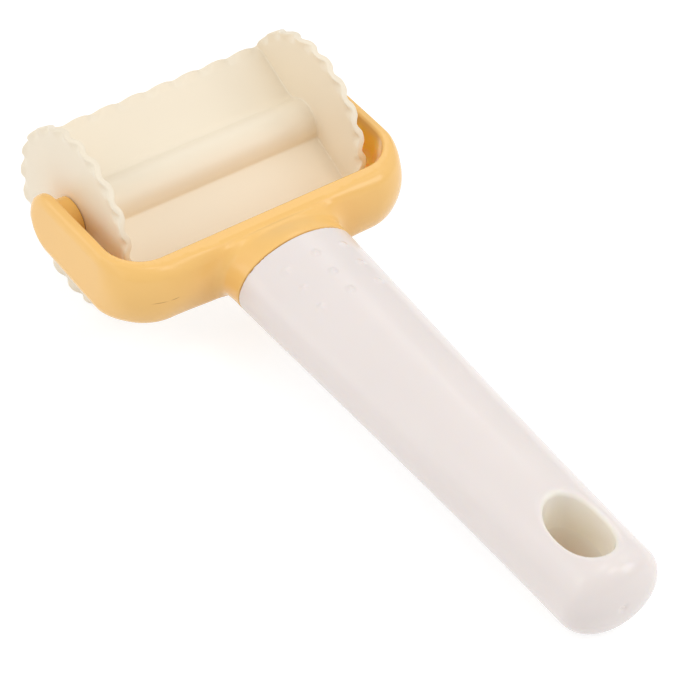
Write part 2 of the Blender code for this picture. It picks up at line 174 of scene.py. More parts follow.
# %% A recipe for moulded plastic
DRIFT_SCALE = 45                    # waves per metre of the colour's pattern
GLOSS_SCALE = 260
RIPPLE_SCALE = 110
GRAIN_SCALE = 1800
DRIFT = 0.03                        # share by which the colour drifts either way
GLOSS_DRIFT = 0.02
RIPPLE = (0.05, 0.001)              # bump's strength, and its height in metres
GRAIN = (0.03, 0.0001)
PLASTIC_IOR = 1.46


def noise(nodes, links, place, scale, detail):
    """Cloudy pattern on Object coordinates; scale is in waves per metre."""
    cloud = nodes.new("ShaderNodeTexNoise")
    cloud.inputs["Scale"].default_value = scale
    cloud.inputs["Detail"].default_value = detail
    links.new(place.outputs["Object"], cloud.inputs["Vector"])
    return cloud.outputs["Fac"]


def bump(nodes, links, height, strength, distance):
    """Bump of a pattern, with its distance in metres."""
    node = nodes.new("ShaderNodeBump")
    node.inputs["Strength"].default_value = strength
    node.inputs["Distance"].default_value = distance
    links.new(height, node.inputs["Height"])
    return node


def plastic(name, colour, roughness, subsurface, bleed):
    """Principled plastic; bleed is how far red, green and blue travel inside, in metres."""
    material = bpy.data.materials.new(name)
    material.use_nodes = True
    nodes, links = material.node_tree.nodes, material.node_tree.links
    shader = nodes["Principled BSDF"]
    shader.inputs["Subsurface Weight"].default_value = subsurface
    shader.inputs["Subsurface Radius"].default_value = bleed
    shader.inputs["Subsurface Scale"].default_value = 1.0
    shader.inputs["IOR"].default_value = PLASTIC_IOR
    place = nodes.new("ShaderNodeTexCoord")

    shades = nodes.new("ShaderNodeMixRGB")
    shades.inputs["Color1"].default_value = (*[c * (1 - DRIFT) for c in colour], 1)
    shades.inputs["Color2"].default_value = (*[min(c * (1 + DRIFT), 1) for c in colour], 1)
    links.new(noise(nodes, links, place, DRIFT_SCALE, 2), shades.inputs["Fac"])
    links.new(shades.outputs["Color"], shader.inputs["Base Color"])

    gloss = nodes.new("ShaderNodeMapRange")
    gloss.inputs["To Min"].default_value = roughness - GLOSS_DRIFT
    gloss.inputs["To Max"].default_value = roughness + GLOSS_DRIFT
    links.new(noise(nodes, links, place, GLOSS_SCALE, 2), gloss.inputs["Value"])
    links.new(gloss.outputs["Result"], shader.inputs["Roughness"])

    soft = bump(nodes, links, noise(nodes, links, place, RIPPLE_SCALE, 1), *RIPPLE)
    fine = bump(nodes, links, noise(nodes, links, place, GRAIN_SCALE, 2), *GRAIN)
    links.new(soft.outputs["Normal"], fine.inputs["Normal"])
    links.new(fine.outputs["Normal"], shader.inputs["Normal"])
    return material


def dress(piece, material, body, node):
    """Gives the piece its material and body, hides the solid that it stands for, prints both sizes."""
    piece.data.materials.append(material)
    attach(piece, body)
    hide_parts(node)
    report(piece, node)
    return piece


YELLOW = plastic("yellow_plastic", (0.990, 0.594, 0.191), 0.20, 0.0, (0.022, 0.007, 0.0008))
WHITE = plastic("white_plastic", (0.880, 0.806, 0.776), 0.20, 0.2, (0.0012, 0.0009, 0.0006))
CREAM = plastic("cream_plastic", (0.940, 0.838, 0.668), 0.36, 0.0, (0.001, 0.001, 0.001))
print("plastics:", ", ".join(m.name for m in (YELLOW, WHITE, CREAM)))

# %% [markdown]
# ## Small marks and painted light on a plastic
# A used or moulded part has marks that aren't in its shape, such as a hairline where two flows of
# plastic met. Colour can also stand in for light and shade: a hole's wall gets a painted warm glow
# and painted shade. They could be painted by hand, point by point. Here a mark is a region round a
# place in the tool's own frame, with a soft border, and a colour is laid over the base colour in it.
# So a mark is moved or widened by changing a number.

# %% Masks and tints
def tool_mask(material, centre, half_sizes, inner, outer):
    """1 inside an egg of those half sizes about a place in the tool's frame, 0 outside, with a soft
    border between two sizes. The Mapping node turns Object coordinates into the tool's frame."""
    nodes, links = material.node_tree.nodes, material.node_tree.links
    place = nodes.new("ShaderNodeTexCoord")
    mapping = nodes.new("ShaderNodeMapping")
    mapping.vector_type = "TEXTURE"
    mapping.inputs["Location"].default_value = to_model(centre)
    mapping.inputs["Rotation"].default_value = (math.radians(HANDLE_DIP), 0, 0)
    mapping.inputs["Scale"].default_value = [size * MM for size in half_sizes]
    links.new(place.outputs["Object"], mapping.inputs["Vector"])
    length = nodes.new("ShaderNodeVectorMath")
    length.operation = "LENGTH"
    links.new(mapping.outputs["Vector"], length.inputs[0])
    border = nodes.new("ShaderNodeMapRange")
    border.interpolation_type = "SMOOTHSTEP"
    border.inputs["From Min"].default_value = inner
    border.inputs["From Max"].default_value = outer
    border.inputs["To Min"].default_value = 1.0
    border.inputs["To Max"].default_value = 0.0
    links.new(length.outputs["Value"], border.inputs["Value"])
    return border.outputs["Result"], mapping.outputs["Vector"]


def tint_where(material, mask, colour):
    """Lays a colour, or a colour socket, over the base colour where the mask is 1."""
    nodes, links = material.node_tree.nodes, material.node_tree.links
    shader = nodes["Principled BSDF"]
    below = shader.inputs["Base Color"].links[0].from_socket
    over = nodes.new("ShaderNodeMixRGB")
    links.new(mask, over.inputs["Fac"])
    links.new(below, over.inputs["Color1"])
    if isinstance(colour, tuple):
        over.inputs["Color2"].default_value = (*colour, 1)
    else:
        links.new(colour, over.inputs["Color2"])
    links.new(over.outputs["Color"], shader.inputs["Base Color"])


print("marks are placed in a frame that dips by", HANDLE_DIP, "degrees, like the tool")

# %% [markdown]
# ## The end discs
# Each disc is a flat plate whose rim is pressed into flutes, so that it cuts a pinked line, with a
# bored spigot behind it that plugs into the hub. A lathe would make the plate, but not the waves. So
# the profile is carried round the axis as a grid of radius against angle, and where the rim begins
# the profile is pushed to and fro along the axis by a wave of the angle, with broad crests and
# narrow hollows on both faces.

# %% Disc profile and waves
DISC_RADIUS = 22.0
DISC_SPACING = 64.6
DISC_WALL = 1.8
RIM_WALL = 1.35
RIM_FLUTES = 21
RIM_DEPTH = 1.0                     # from crest to hollow
RIM_REACH = 2.4                     # flutes run in this far from the rim
RIM_RAMP = 2.4                      # length over which they rise
CREST_ANGLES = {"left": 12.6, "right": 52.2}
SPIGOT_LENGTH = 9.0
SPIGOT_RADIUS = 3.8
DISC_BORE = 2.9
EDGE_ROUND = 0.25
STEPS_PER_FLUTE = 20
FACE_STEPS = 10
RIM_STEPS = 20
EDGE_STEPS = 7


def disc_profile():
    """Columns: radius, place along the axis (outwards positive), share of the push, and level."""
    start = DISC_RADIUS - RIM_REACH
    radius = np.concatenate([
        np.linspace(DISC_BORE + EDGE_ROUND, start, FACE_STEPS)[:-1],
        np.linspace(start, DISC_RADIUS - EDGE_ROUND, RIM_STEPS)])
    rise = smooth_step((radius - start) / RIM_RAMP)
    half = (DISC_WALL + (RIM_WALL - DISC_WALL) * rise) / 2
    face = np.c_[radius, half, rise, np.ones_like(radius)]
    turn = np.radians(np.linspace(67.5, -67.5, EDGE_STEPS))      # round the rim's edge
    straight = RIM_WALL / 2 - EDGE_ROUND
    edge = np.c_[DISC_RADIUS - EDGE_ROUND + EDGE_ROUND * np.cos(turn),
                 np.sign(np.sin(turn)) * straight + EDGE_ROUND * np.sin(turn),
                 np.ones(EDGE_STEPS), np.sin(turn)]
    back = face[::-1] * [1, -1, 1, -1]
    back = back[back[:, 0] > SPIGOT_RADIUS + EDGE_ROUND]
    end = -DISC_WALL / 2 - SPIGOT_LENGTH
    spigot = np.array([[SPIGOT_RADIUS, -DISC_WALL / 2 - EDGE_ROUND],
                       [SPIGOT_RADIUS, end + EDGE_ROUND],
                       [SPIGOT_RADIUS - EDGE_ROUND, end],
                       [DISC_BORE + EDGE_ROUND, end],
                       [DISC_BORE, end + EDGE_ROUND],
                       [DISC_BORE, DISC_WALL / 2 - EDGE_ROUND]])
    return np.vstack([face, edge, back, np.c_[spigot, np.zeros((len(spigot), 2))]])


def end_disc(label, side):
    """Grid of profile by angle: places along the axis are pushed by the flutes' share."""
    profile = disc_profile()
    angle = np.linspace(0, 2 * math.pi, RIM_FLUTES * STEPS_PER_FLUTE, endpoint=False)
    radius, along, share, level = (profile[:, i, None] for i in range(4))
    turn = RIM_FLUTES * (angle - math.radians(CREST_ANGLES[label]))
    x = side * (DISC_SPACING / 2 + along + share * flute_push(turn, level, RIM_DEPTH))
    points = np.stack([x, radius * np.cos(angle), radius * np.sin(angle)], axis=-1)
    faces = grid_faces(len(profile), len(angle), True, True)
    return to_mesh("disc_" + label, points.reshape(-1, 3), faces)


for label, side in (("left", -1), ("right", 1)):
    disc = finish_surface(end_disc(label, side), 50)
    dress(disc, CREAM, "roller", "end_disc_" + label)

# %% [markdown]
# ## The hub and its two blades
# Hub and blades are one moulding, the same all along the roller but for the waves on the cutting
# edges. So one closed outline is carried along X. It runs over the hub's crown, round a fillet onto
# the blade, out to the edge and back underneath, and then the same again turned half round, because
# the blades lie opposite each other. Near the edges the outline is pushed up and down by the same
# kind of wave as on the discs, along the roller. At both ends the outline swells into a small
# fillet, where hub and blades meet the discs.

# %% Outline and waves of the blades
HUB_RADIUS = 5.5
HUB_BORE = 4.1
HUB_FILLETS = (3.0, 0.7)            # on a blade's leading face and behind it
BLADE_WALL = 1.8
BLADE_EDGE = 1.0
BLADE_TILT = 21.6                   # degrees above +Y
BLADE_PITCH = 7.65
BLADE_DEPTH = 1.2
BLADE_REACH = 2.8
BLADE_RAMP = 2.6
END_FILLET = 0.45                   # where hub and blades meet the discs
END_PRESS = 0.05                    # how far the ends reach into the discs' faces
CROWN_STEPS = 14
FILLET_STEPS = 12
WALL_STEPS = 8
WAVE_STEPS = 20
END_STEPS = 9
LENGTH_STEPS = 190
CORE_HALF = DISC_SPACING / 2 - DISC_WALL / 2 + END_PRESS


def blade_face(fillet):
    """Hub's crown, fillet and face out to the edge: distance along the blade, and height on it."""
    centre_up = BLADE_WALL / 2 + fillet
    centre_out = math.sqrt((HUB_RADIUS + fillet) ** 2 - centre_up ** 2)
    touch = math.atan2(centre_up, centre_out)
    crown = np.linspace(math.pi / 2, touch, CROWN_STEPS)[:-1]
    bend = np.linspace(math.pi + touch, 1.5 * math.pi, FILLET_STEPS)
    waves_start = DISC_RADIUS - BLADE_REACH
    run = np.concatenate([np.linspace(centre_out, waves_start, WALL_STEPS)[1:-1],
                          np.linspace(waves_start, DISC_RADIUS - EDGE_ROUND, WAVE_STEPS)])
    rise = np.clip((run - waves_start) / BLADE_REACH, 0, 1)
    half = (BLADE_WALL + (BLADE_EDGE - BLADE_WALL) * rise) / 2
    return np.vstack([
        np.c_[HUB_RADIUS * np.cos(crown), HUB_RADIUS * np.sin(crown)],
        np.c_[centre_out + fillet * np.cos(bend), centre_up + fillet * np.sin(bend)],
        np.c_[run, half]])


def blade_outline():
    """Leading face, rounded edge and rear face of one blade, from crown to underside."""
    turn = np.radians([60, 30, 0, -30, -60])       # round the cutting edge
    straight = BLADE_EDGE / 2 - EDGE_ROUND
    edge = np.c_[DISC_RADIUS - EDGE_ROUND + EDGE_ROUND * np.cos(turn),
                 np.sign(np.sin(turn)) * straight + EDGE_ROUND * np.sin(turn)]
    return np.vstack([blade_face(HUB_FILLETS[0]), edge,
                      blade_face(HUB_FILLETS[1])[:0:-1] * [1, -1]])


def cutter_core():
    """Rows are stations along X. A row is the outline with its edges lifted by the wave, and close
    to the discs it is swollen by what a quarter circle leaves: radius - sqrt(radius^2 - depth^2)."""
    outline = blade_outline()
    near_disc = np.linspace(0, END_FILLET, END_STEPS)[:-1]
    middle = CORE_HALF - END_FILLET
    x = np.concatenate([near_disc - CORE_HALF, np.linspace(-middle, middle, LENGTH_STEPS),
                        CORE_HALF - near_disc[::-1]])[:, None]
    into = np.clip(np.abs(x) - middle, 0, END_FILLET)
    swell = END_FILLET - np.sqrt(np.maximum(END_FILLET ** 2 - into ** 2, 0))
    rise = smooth_step((outline[:, 0] - DISC_RADIUS + BLADE_REACH) / BLADE_RAMP)
    level = np.clip(outline[:, 1] / (BLADE_EDGE / 2), -1, 1)
    lift = rise * flute_push(2 * math.pi * (x / BLADE_PITCH + 0.5), level, BLADE_DEPTH)
    along = np.gradient(outline, axis=0)
    along /= np.linalg.norm(along, axis=1, keepdims=True)
    keep_edge = np.clip((DISC_RADIUS - outline[:, 0]) / END_FILLET, 0, 1)
    out = outline[:, 0] - along[:, 1] * swell * keep_edge
    up = outline[:, 1] + along[:, 0] * swell * keep_edge + lift
    out, up = np.hstack([out, -out]), np.hstack([up, -up])
    # Two more rows of points on the bore's circle make the hollow of the hub.
    around = np.arctan2(up[0], out[0])
    bore = np.c_[HUB_BORE * np.cos(around), HUB_BORE * np.sin(around)]
    out = np.vstack([out, bore[:, 0], bore[:, 0]])
    up = np.vstack([up, bore[:, 1], bore[:, 1]])
    x = np.vstack([x, [[CORE_HALF]], [[-CORE_HALF]]]) * np.ones_like(out)
    c, s = math.cos(math.radians(BLADE_TILT)), math.sin(math.radians(BLADE_TILT))
    points = np.stack([x, out * c - up * s, out * s + up * c], axis=-1)
    faces = grid_faces(*out.shape, True, True)
    return to_mesh("hub_and_blades", points.reshape(-1, 3), faces)


core = finish_surface(cutter_core(), 50)
dress(core, CREAM, "roller", "cutter_core")

# %% [markdown]
# ## Skins of distance fields
# The fork's collar melts into its crossbar, and the handle's hole has a soft lip. Such blends are
# hard to draw as grids, but easy as a field: a function that gives each place in space its distance
# from the surface, negative inside. Two shapes join with a smooth minimum, which leaves a fillet, or
# one is cut from the other with a rounded maximum, which leaves a round edge. The surface is then
# found in a lattice of cells: each cell that the field changes sign in gets one point, each lattice
# edge that changes sign gets a face between its four cells, and a few Newton steps along the slope
# put every point exactly on the surface.

# %% Blends, and a skin round a field
SLOPE_REACH = 0.02                  # steps in mm for a slope: to settle points, and for a normal
NORMAL_REACH = 0.05
LONGEST_STEP = 0.3
LEAST_SLOPE = 1e-3


def soft_union(a, b, size):
    """Smaller of two distances, less a bit where they are within size: a concave fillet."""
    near = np.maximum(size - np.abs(a - b), 0) / size
    return np.minimum(a, b) - near * near * size / 4


def round_both(a, b, radius, rise=None):
    """Larger of two distances, with a quarter ellipse of those half axes where both are small."""
    rise = rise or radius
    corner = np.hypot(np.maximum(a / radius + 1, 0), np.maximum(b / rise + 1, 0)) - 1
    return np.where((a > -radius) & (b > -rise), corner * min(radius, rise), np.maximum(a, b))


def slope_of(field, points, reach):
    """Slope of a field at points: its change between a step back and a step on, along each axis."""
    return np.stack([field(points + d) - field(points - d) for d in np.eye(3) * reach],
                    -1) / (2 * reach)


def settle(points, field, rounds=6):
    """Newton steps: each point moves against the field's slope by its own distance."""
    for _ in range(rounds):
        slope = slope_of(field, points, SLOPE_REACH)
        length = np.maximum((slope ** 2).sum(-1), LEAST_SLOPE)
        away = np.clip(field(points), -LONGEST_STEP, LONGEST_STEP)
        points = points - (away / length)[:, None] * slope
    return points


def cell_points(values, axes, mixed):
    """One point per mixed cell: the mean of the places where its twelve edges cross zero."""
    total, hits = np.zeros((*mixed.shape, 3)), np.zeros(mixed.shape)
    spots = np.stack(np.meshgrid(*axes, indexing="ij"), -1)
    for axis in range(3):
        near, far = np.moveaxis(values, axis, 0)[:-1], np.moveaxis(values, axis, 0)[1:]
        start = np.moveaxis(spots, axis, 0)
        with np.errstate(divide="ignore", invalid="ignore"):
            share = np.nan_to_num(near / (near - far))
        crosses = (near < 0) != (far < 0)
        place = start[:-1] + share[..., None] * (start[1:] - start[:-1])
        place, crosses = np.moveaxis(place, 0, axis), np.moveaxis(crosses, 0, axis)
        place = place * crosses[..., None]
        for one in (slice(0, -1), slice(1, None)):
            for two in (slice(0, -1), slice(1, None)):
                cut = [one, two]
                cut.insert(axis, slice(None))
                total += place[tuple(cut)]
                hits += crosses[tuple(cut)]
    return total[mixed] / hits[mixed][:, None]


def cell_faces(inside, number):
    """A quad between the four cells round each lattice edge whose ends are not both inside."""
    faces = []
    for axis in range(3):
        along = np.moveaxis(inside, axis, 0)
        cells = np.moveaxis(number, axis, 0)
        flip = along[:-1, 1:-1, 1:-1] != along[1:, 1:-1, 1:-1]
        ring = np.stack([cells[:, :-1, :-1], cells[:, 1:, :-1], cells[:, 1:, 1:],
                         cells[:, :-1, 1:]], -1)
        faces.append(ring[flip])
    return np.vstack(faces)


def mixed_cells(inside):
    """Cells whose eight corners are neither all inside nor all outside."""
    count = inside.astype(np.int8)
    for axis in range(3):
        along = np.moveaxis(count, axis, 0)
        count = np.moveaxis(along[:-1] + along[1:], 0, axis)
    return (count > 0) & (count < 8)


def places_of(piece):
    """The piece's vertices, as an array in the tool's frame."""
    places = np.empty((len(piece.data.vertices), 3), np.float32)
    piece.data.vertices.foreach_get("co", places.ravel())
    return from_model(places)


def normals_of(field, points):
    """Slopes of the field at points, at length 1."""
    slope = slope_of(field, points, NORMAL_REACH)
    return slope / np.linalg.norm(slope, axis=1, keepdims=True)


def skin(name, field, low, high, steps):
    """Mesh of the surface where the field is zero, on a lattice of those steps along X, Y and Z."""
    axes = [np.arange(a, b + step, step) for a, b, step in zip(low, high, steps)]
    values = field(np.stack(np.meshgrid(*axes, indexing="ij"), -1))
    inside = values < 0
    mixed = mixed_cells(inside)
    number = np.full(mixed.shape, -1)
    number[mixed] = np.arange(mixed.sum())
    points = settle(cell_points(values, axes, mixed), field)
    piece = finish_surface(to_mesh(name, points, cell_faces(inside, number)), 180)
    normals = normals_of(field, places_of(piece)) @ tilt_matrix().T
    piece.data.normals_split_custom_set_from_vertices(normals)
    return piece


tried = settle(np.array([[1.2, 0.1, -0.1]]), lambda p: np.linalg.norm(p, axis=-1) - 1)
print("a point near a ball of radius 1 mm settles at", np.linalg.norm(tried).round(6))

# %% [markdown]
# ## The handle
# A hollow oval tube, widest where it meets the fork and rounded off at the far end, with an
# egg-shaped hole to hang it by. Its section is an ellipse whose width and height change smoothly
# between four measured places. The hole is narrowest half way down, where the two halves of the
# mould met, which leaves the faint ridge inside it. Its wall has a painted warm glow that turns to
# a tan painted shade the lower it lies.
# Nine low dots on the upper face, in three rows of three, stop the thumb from slipping. They are
# added to the field as a height that follows a cosine, so they have no edge. A dimple on the end is
# where the plastic ran in.

# %% Sizes of the handle
MOUTH = -40.4                       # y, where collar and handle meet
HANDLE_LENGTH = 118.5
HANDLE_WIDTHS = (31.3, 28.7, 25.9, 25.0)
HANDLE_HEIGHTS = (22.3, 20.8, 20.7, 20.8)
HANDLE_END_ROUND = 7.6
HANDLE_END_POWER = 2.2
HANDLE_WALL = 2.4
HOLLOW_ROUND = 3.0
MOUTH_ROUND = 0.25
SEAM = 0.15
HOLE_FROM_END = 17.8
HOLE_SIZE = (12.4, 18.9)
HOLE_DRAFT = 1.0
HOLE_POWER = 2.15
HOLE_LIP = 1.4
DOT_RADIUS = 1.45
DOT_HEIGHT = 0.4
DOT_PITCH = (8.0, 6.6)              # across and along the handle
DOT_FIRST = MOUTH - 6.6
GATE_PLACE = (-1.2, 0.9)            # x and z on the handle's end
GATE_RADIUS = 0.9
GATE_DEPTH = 0.45
# painted glow and painted shade for the hole's wall, from its foot up to its top
HOLE_PAINT_COLOURS = ((0.98, 0.80, 0.60), (1.0, 0.91, 0.76), (1.0, 0.95, 0.87))     # foot, joint, top
HOLE_DEPTHS = (-8, 10)              # z of the first and the last colour
HOLE_PAINT_MIDDLE = 0.45                   # where between them the middle painted colour lies, at the mould's joint
HOLE_BORDER = (0.97, 1.15)          # the colours fade out between these sizes of the hole
HANDLE_BOX = (16.5, 12.2)           # half the width and height of the space that is searched
HANDLE_STEPS = (0.45, 0.55, 0.45)


def through(values, t):
    """Smooth curve through evenly spaced values, t from 0 to 1."""
    knots = np.linspace(0, 1, len(values))
    return np.polyval(np.polyfit(knots, values, len(values) - 1), t)


def handle_halves(y):
    """Half width and half height of the handle's outside at y."""
    t = np.clip((MOUTH - y) / HANDLE_LENGTH, 0, 1)
    return through(HANDLE_WIDTHS, t) / 2, through(HANDLE_HEIGHTS, t) / 2


def oval_distance(x, z, half_width, half_height, power=2.0):
    """About the distance from an oval: its size ratio less one, times its smaller half."""
    ratio = (np.abs(x / half_width) ** power + np.abs(z / half_height) ** power) ** (1 / power)
    return (ratio - 1) * np.minimum(half_width, half_height)


def thumb_dots(x, y, z):
    """Height of nine low domes on the upper face: half the height times one plus cos(pi radius)."""
    column = DOT_PITCH[0] * np.clip(np.round(x / DOT_PITCH[0]), -1, 1)
    row = DOT_FIRST - DOT_PITCH[1] * np.clip(np.round((DOT_FIRST - y) / DOT_PITCH[1]), 0, 2)
    away = np.minimum(np.hypot(x - column, y - row) / DOT_RADIUS, 1)
    return np.where(z > 0, DOT_HEIGHT / 2 * (1 + np.cos(math.pi * away)), 0)


def handle_field(p):
    """Rounded oval tube with dots, less its hollow, the hanging hole and the gate's dimple."""
    x, y, z = p[..., 0], p[..., 1], p[..., 2]
    half_width, half_height = handle_halves(y)
    into_end = np.maximum(MOUTH - HANDLE_LENGTH + HANDLE_END_ROUND - y, 0) / HANDLE_END_ROUND
    ratio = np.hypot(x / half_width, z / half_height)
    closed = (ratio ** HANDLE_END_POWER + into_end ** HANDLE_END_POWER) ** (1 / HANDLE_END_POWER)
    outside = (closed - 1) * half_height - thumb_dots(x, y, z)
    gate = np.hypot(x - GATE_PLACE[0], z - GATE_PLACE[1]) / GATE_RADIUS
    outside = outside + GATE_DEPTH / (1 + gate ** 4) * (y < MOUTH - HANDLE_LENGTH / 2)
    outside = round_both(outside, y - (MOUTH - SEAM), MOUTH_ROUND)

    hollow = oval_distance(x, z, half_width - HANDLE_WALL, half_height - HANDLE_WALL)
    hollow_end = MOUTH - HANDLE_LENGTH + HOLE_FROM_END + HOLE_SIZE[1] / 2 + HANDLE_WALL
    hollow = round_both(hollow, hollow_end - y, HOLLOW_ROUND)
    shell = np.maximum(outside, -hollow)

    level = np.clip(np.abs(z) / half_height, 0, 1)
    inset = HOLE_DRAFT * (1 - level)
    hole_y = MOUTH - HANDLE_LENGTH + HOLE_FROM_END
    hole = oval_distance(x, y - hole_y, HOLE_SIZE[0] / 2 - inset, HOLE_SIZE[1] / 2 - inset, HOLE_POWER)
    return round_both(shell, -hole, HOLE_LIP)


def paint_hole_glow_and_shade():
    """Painted light and shade on the hole's wall: a pale painted glow above the joint, tan painted
    shade below.
    """
    centre = (0, MOUTH - HANDLE_LENGTH + HOLE_FROM_END, 0)
    endless = 1 / MM                # so the mask has no ends in depth, and z comes in metres
    sizes = (HOLE_SIZE[0] / 2, HOLE_SIZE[1] / 2, endless)
    mask, vector = tool_mask(WHITE, centre, sizes, *HOLE_BORDER)
    nodes, links = WHITE.node_tree.nodes, WHITE.node_tree.links
    split = nodes.new("ShaderNodeSeparateXYZ")
    links.new(vector, split.inputs["Vector"])
    depth = nodes.new("ShaderNodeMapRange")
    depth.inputs["From Min"].default_value = HOLE_DEPTHS[0] * MM
    depth.inputs["From Max"].default_value = HOLE_DEPTHS[1] * MM
    links.new(split.outputs["Z"], depth.inputs["Value"])
    ramp = nodes.new("ShaderNodeValToRGB")
    ramp.color_ramp.elements[0].color = (*HOLE_PAINT_COLOURS[0], 1)
    ramp.color_ramp.elements[1].color = (*HOLE_PAINT_COLOURS[2], 1)
    middle = ramp.color_ramp.elements.new(HOLE_PAINT_MIDDLE)
    middle.color = (*HOLE_PAINT_COLOURS[1], 1)
    links.new(depth.outputs["Result"], ramp.inputs["Fac"])
    tint_where(WHITE, mask, ramp.outputs["Color"])


# paints warm light and shade into the hole's wall of the white plastic
paint_hole_glow_and_shade()
handle = skin("handle_shell_skin", handle_field,
              (-HANDLE_BOX[0], MOUTH - HANDLE_LENGTH - 1, -HANDLE_BOX[1]),
              (HANDLE_BOX[0], MOUTH + 0.5, HANDLE_BOX[1]), HANDLE_STEPS)
dress(handle, WHITE, "holder", "handle_shell")

# %% [markdown]
# ## The fork
# One yellow moulding: two arms, a crossbar with round corners, a collar that flares out of the
# crossbar into the handle's oval, and a boss and a pivot pin inside each arm. Seen from above the
# band is the space between two rounded rectangles; seen from the side each arm ends in a half circle
# about the roller's axis. The outside swells a little at the corners. On the front a hairline shows
# in two short strokes where two flows of plastic met.

# %% Sizes of the fork
ARM_OUTSIDE = 40.55
ARM_WALL = 3.0
ARM_TIP = 8.1
BAR_INSIDE = 27.9
BAR_WALL = 5.1
BAR_HALF_HEIGHT = 8.65
CORNER_OUTSIDE = 12.8
CORNER_INSIDE = 9.2
CORNER_BARREL = 2.4
BAR_BARREL = 0.4
OUTER_ROUND = (1.9, 3.0)            # across the wall, and up the outside
CREASE = 0.08                       # how far the outer rounding overshoots the flat top
CREASE_ROUND = 0.3
INNER_ROUND = 0.8
COLLAR_FLARE = 2.6
COLLAR_FLARE_POWER = 2.4            # above 1, the flare is used up near the crossbar
COLLAR_SQUARENESS = 0.8             # added to an ellipse's power of 2 where the collar starts
COLLAR_START = 8.0                  # half height where it leaves the crossbar
COLLAR_BLEND = 2.5
COLLAR_FADE = 1.4                   # how many blends the collar sinks by inside the crossbar
COLLAR_ROUND = 0.2
BOSS_RADIUS = 5.6
BOSS_GAP = 0.15
BOSS_ROUND = 0.2
PIN_RADIUS = 2.6
PIN_LENGTH = 7.0                    # from the disc's outer face into its bore
PIN_ROOT = 2.0                      # and back into the boss
PIN_ROUND = 0.4
DISC_FACE = DISC_SPACING / 2 + DISC_WALL / 2
HAIRLINES = ((-32.1, 2.6), (-28.3, 1.5))       # x of each stroke's middle, and half its length
HAIRLINE_PLACE = (-34.0, 0.5)                  # y and z
HAIRLINE_HALF = (3.0, 0.15)
HAIRLINE_COLOUR = (0.62, 0.31, 0.08)
HAIRLINE_BORDER = (0.3, 1.0)
FORK_LOW = (-42.5, MOUTH - 1, -12.2)           # corners of the space that is searched
FORK_HIGH = (42.5, 9.2, 12.2)
FORK_STEPS = (0.38, 0.38, 0.38)


def rounded_corner(x, y, wide, long, radius):
    """Distance from a rectangle that is open towards +Y and has two round corners at -long."""
    over_x, over_y = np.abs(x) - (wide - radius), -y - (long - radius)
    outside = np.hypot(np.maximum(over_x, 0), np.maximum(over_y, 0))
    return outside + np.minimum(np.maximum(over_x, over_y), 0) - radius


def barrel(x, y, z, half_height):
    """How far the outside stands out: most at the corners, half out and half in over the height."""
    over_x = np.abs(x) - (ARM_OUTSIDE - CORNER_OUTSIDE)
    over_y = -y - (BAR_INSIDE + BAR_WALL - CORNER_OUTSIDE)
    turned = np.arctan2(np.maximum(over_y, 0), np.maximum(over_x, 1e-6)) / (math.pi / 2)
    amount = CORNER_BARREL * smooth_step(2 * turned)
    to_middle = smooth_step(-over_x / (ARM_OUTSIDE - CORNER_OUTSIDE) * 2)
    amount = amount + (BAR_BARREL - CORNER_BARREL) * to_middle
    return amount * (0.5 - np.clip(z / half_height, -1, 1) ** 2)


def band_field(x, y, z):
    """Between two rounded rectangles in plan, and below the arm's outline from the side."""
    along_arm = smooth_step(-y / (BAR_INSIDE + BAR_WALL - CORNER_OUTSIDE))
    half_height = ARM_TIP + (BAR_HALF_HEIGHT - ARM_TIP) * along_arm
    side = np.where(y > 0, np.hypot(np.maximum(y, 0), z), np.abs(z)) - half_height
    outer = rounded_corner(x, y, ARM_OUTSIDE, BAR_INSIDE + BAR_WALL, CORNER_OUTSIDE)
    outer = outer - barrel(x, y, z, half_height)
    inner = -rounded_corner(x, y, ARM_OUTSIDE - ARM_WALL, BAR_INSIDE, CORNER_INSIDE)
    outer = round_both(round_both(outer, side - CREASE, *OUTER_ROUND), side, CREASE_ROUND)
    return np.maximum(outer, round_both(inner, side, INNER_ROUND))


def collar_field(x, y, z):
    """Oval that is wider and squarer at the crossbar than at the handle, and sinks inside it."""
    t = np.clip((-y - BAR_INSIDE - BAR_WALL / 2) / (-MOUTH - BAR_INSIDE - BAR_WALL / 2), 0, 1)
    ease = (1 - t) ** COLLAR_FLARE_POWER
    half_width = HANDLE_WIDTHS[0] / 2 + COLLAR_FLARE * ease
    half_height = COLLAR_START + (HANDLE_HEIGHTS[0] / 2 - COLLAR_START) * smooth_step(t)
    oval = oval_distance(x, z, half_width, half_height, 2.0 + COLLAR_SQUARENESS * ease)
    into_bar = smooth_step((y + BAR_INSIDE + BAR_WALL) / (BAR_WALL / 2))
    oval = oval + COLLAR_FADE * COLLAR_BLEND * into_bar
    return np.maximum(oval, y + BAR_INSIDE + BAR_WALL / 2)


def pivot_field(x, y, z):
    """A boss on each arm's inside, and the pin in front of it."""
    from_axis = np.hypot(y, z)
    boss = round_both(from_axis - BOSS_RADIUS, DISC_FACE + BOSS_GAP - np.abs(x), BOSS_ROUND)
    boss = np.maximum(boss, np.abs(x) - ARM_OUTSIDE + ARM_WALL / 2)
    pin = round_both(from_axis - PIN_RADIUS, DISC_FACE - PIN_LENGTH - np.abs(x), PIN_ROUND)
    return np.minimum(boss, np.maximum(pin, np.abs(x) - DISC_FACE - PIN_ROOT))


def fork_field(p):
    """Band and collar melt together, and boss and pin join them without a blend."""
    x, y, z = p[..., 0], p[..., 1], p[..., 2]
    body = soft_union(band_field(x, y, z), collar_field(x, y, z), COLLAR_BLEND)
    body = round_both(body, MOUTH - y, COLLAR_ROUND)
    return np.minimum(body, pivot_field(x, y, z))


